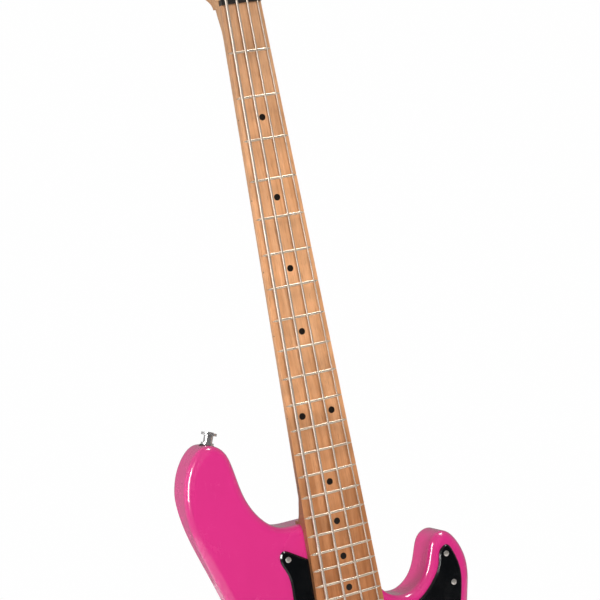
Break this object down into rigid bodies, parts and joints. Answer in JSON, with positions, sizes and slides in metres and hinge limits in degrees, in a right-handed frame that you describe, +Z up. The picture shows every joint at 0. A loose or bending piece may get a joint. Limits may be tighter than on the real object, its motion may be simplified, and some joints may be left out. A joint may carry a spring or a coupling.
{
  "type": "electric bass guitar",
  "caption": "Short-scale electric bass with an offset double-cutaway body, bolt-on neck, split pickup, adjustable bridge and working tuners.",
  "frame": {"origin": "seat of the end strap button, on the centre line of the body's bottom end and in the middle of its thickness", "axes": "+Z up the neck to the headstock, -Y the way the strings face, +X the treble side"},
  "size_m": [0.3058, 0.0663, 1.0483],
  "materials": {
    "lacquer": "high-gloss pink polyester lacquer over a solid wood body",
    "maple": "roasted maple, satin",
    "board": "roasted maple board, satin, slightly oiled",
    "steel": "plated steel",
    "screw_steel": "nickel-plated cross-head screws",
    "chrome": "polished chrome plate",
    "saddle_steel": "turned and plated steel",
    "fret_wire": "polished nickel silver",
    "string_wire": "roundwound nickel-plated steel",
    "brass": "turned brass ball end",
    "guard": "polished black sheet with a bevelled edge",
    "black_plastic": "moulded black plastic",
    "nut_black": "black synthetic bone, lightly polished",
    "inlay": "flush black dots",
    "bobbin": "black bobbin with enamelled copper winding",
    "foam": "grey open-cell foam pad",
    "wire_cover": "cloth-covered hook-up wire and a film capacitor",
    "felt": "black felt",
    "knob": "black fluted knob"
  },
  "bodies": {
    "instrument": {"body": "lacquer", "neck": "maple", "fingerboard": "board", "truss_rod": "steel", "nut": "nut_black", "frets": "fret_wire", "fingerboard_dots": "inlay", "side_dots": "inlay", "string_retainer": "chrome", "retainer_screw": "screw_steel", "neck_plate": "chrome", "neck_screws": "screw_steel", "pickguard": "guard", "pickguard_screws": "screw_steel", "pickup_covers": "black_plastic", "pickup_coils": "bobbin", "pickup_pole_pieces": "steel", "pickup_screws": "screw_steel", "pickup_foam": "foam", "bridge_plate": "chrome", "bridge_screws": "screw_steel", "tuner_plates": "chrome", "tuner_screws": "screw_steel", "tuner_bushings": "chrome", "string_e": "string_wire", "string_a": "string_wire", "string_d": "string_wire", "string_g": "string_wire", "string_balls": "brass", "potentiometers": "steel", "pot_nuts": "chrome", "output_jack": "chrome", "jack_nut": "chrome", "wiring": "wire_cover", "strap_buttons": "chrome", "strap_screws": "screw_steel", "strap_washers": "felt", "intonation_spring_1": "steel", "intonation_spring_2": "steel", "intonation_spring_3": "steel", "intonation_spring_4": "steel"},
    "tuner_key_1": {"tuner_key_1": "chrome"},
    "tuner_post_1": {"tuner_post_1": "chrome"},
    "tuner_key_2": {"tuner_key_2": "chrome"},
    "tuner_post_2": {"tuner_post_2": "chrome"},
    "tuner_key_3": {"tuner_key_3": "chrome"},
    "tuner_post_3": {"tuner_post_3": "chrome"},
    "tuner_key_4": {"tuner_key_4": "chrome"},
    "tuner_post_4": {"tuner_post_4": "chrome"},
    "intonation_screw_1": {"intonation_screw_1": "screw_steel"},
    "saddle_1": {"saddle_1": "saddle_steel"},
    "intonation_screw_2": {"intonation_screw_2": "screw_steel"},
    "saddle_2": {"saddle_2": "saddle_steel"},
    "intonation_screw_3": {"intonation_screw_3": "screw_steel"},
    "saddle_3": {"saddle_3": "saddle_steel"},
    "intonation_screw_4": {"intonation_screw_4": "screw_steel"},
    "saddle_4": {"saddle_4": "saddle_steel"},
    "volume_knob": {"volume_knob": "knob"},
    "tone_knob": {"tone_knob": "knob"},
    "truss_rod_nut": {"truss_rod_nut": "steel"}
  },
  "joints": [
    {"name": "key_turn_1", "type": "hinge", "parent": "instrument", "child": "tuner_key_1", "pos_m": [-0.01751, -0.0027, 0.89844], "axis": [-0.9681, 0, 0.2505], "continuous": true},
    {"name": "post_turn_1", "type": "hinge", "parent": "instrument", "child": "tuner_post_1", "pos_m": [-0.02073, 0, 0.886], "axis": [0, -1, 0], "continuous": true},
    {"name": "key_turn_2", "type": "hinge", "parent": "instrument", "child": "tuner_key_2", "pos_m": [-0.00743, -0.0027, 0.93644], "axis": [-0.9681, 0, 0.2505], "continuous": true},
    {"name": "post_turn_2", "type": "hinge", "parent": "instrument", "child": "tuner_post_2", "pos_m": [-0.01065, 0, 0.924], "axis": [0, -1, 0], "continuous": true},
    {"name": "key_turn_3", "type": "hinge", "parent": "instrument", "child": "tuner_key_3", "pos_m": [0.00267, -0.0027, 0.97444], "axis": [-0.9681, 0, 0.2505], "continuous": true},
    {"name": "post_turn_3", "type": "hinge", "parent": "instrument", "child": "tuner_post_3", "pos_m": [-0.00055, 0, 0.962], "axis": [0, -1, 0], "continuous": true},
    {"name": "key_turn_4", "type": "hinge", "parent": "instrument", "child": "tuner_key_4", "pos_m": [0.01275, -0.0027, 1.01244], "axis": [-0.9681, 0, 0.2505], "continuous": true},
    {"name": "post_turn_4", "type": "hinge", "parent": "instrument", "child": "tuner_post_4", "pos_m": [0.00953, 0, 1], "axis": [0, -1, 0], "continuous": true},
    {"name": "intonation_turn_1", "type": "hinge", "parent": "instrument", "child": "intonation_screw_1", "pos_m": [-0.0246, -0.03017, 0.032], "axis": [0, 0, -1], "range_deg": [0, 4114.3]},
    {"name": "saddle_slide_1", "type": "slide", "parent": "instrument", "child": "saddle_1", "axis": [0, 0, 1], "range_m": [0, 0.008], "deforming": ["intonation_spring_1"]},
    {"name": "intonation_turn_2", "type": "hinge", "parent": "instrument", "child": "intonation_screw_2", "pos_m": [-0.0056, -0.03167, 0.032], "axis": [0, 0, -1], "range_deg": [0, 4114.3]},
    {"name": "saddle_slide_2", "type": "slide", "parent": "instrument", "child": "saddle_2", "axis": [0, 0, 1], "range_m": [0, 0.008], "deforming": ["intonation_spring_2"]},
    {"name": "intonation_turn_3", "type": "hinge", "parent": "instrument", "child": "intonation_screw_3", "pos_m": [0.0134, -0.03167, 0.032], "axis": [0, 0, -1], "range_deg": [0, 4114.3]},
    {"name": "saddle_slide_3", "type": "slide", "parent": "instrument", "child": "saddle_3", "axis": [0, 0, 1], "range_m": [0, 0.008], "deforming": ["intonation_spring_3"]},
    {"name": "intonation_turn_4", "type": "hinge", "parent": "instrument", "child": "intonation_screw_4", "pos_m": [0.0324, -0.03017, 0.032], "axis": [0, 0, -1], "range_deg": [0, 4114.3]},
    {"name": "saddle_slide_4", "type": "slide", "parent": "instrument", "child": "saddle_4", "axis": [0, 0, 1], "range_m": [0, 0.008], "deforming": ["intonation_spring_4"]},
    {"name": "volume_turn", "type": "hinge", "parent": "instrument", "child": "volume_knob", "pos_m": [0.086, -0.03, 0.114], "axis": [0, -1, 0], "range_deg": [-150, 150]},
    {"name": "tone_turn", "type": "hinge", "parent": "instrument", "child": "tone_knob", "pos_m": [0.0985, -0.03, 0.082], "axis": [0, -1, 0], "range_deg": [-150, 150]},
    {"name": "truss_nut_turn", "type": "hinge", "parent": "instrument", "child": "truss_rod_nut", "pos_m": [0, -0.0185, 0.29], "axis": [0, 0, 1], "range_deg": [-180, 180]}
  ],
  "couplings": [
    {"joint": "post_turn_1", "follows": "key_turn_1", "ratio": 0.05},
    {"joint": "post_turn_2", "follows": "key_turn_2", "ratio": 0.05},
    {"joint": "post_turn_3", "follows": "key_turn_3", "ratio": 0.05},
    {"joint": "post_turn_4", "follows": "key_turn_4", "ratio": 0.05},
    {"joint": "intonation_turn_1", "follows": "saddle_slide_1", "rad_per_m": 8976},
    {"joint": "intonation_turn_2", "follows": "saddle_slide_2", "rad_per_m": 8976},
    {"joint": "intonation_turn_3", "follows": "saddle_slide_3", "rad_per_m": 8976},
    {"joint": "intonation_turn_4", "follows": "saddle_slide_4", "rad_per_m": 8976}
  ]
}
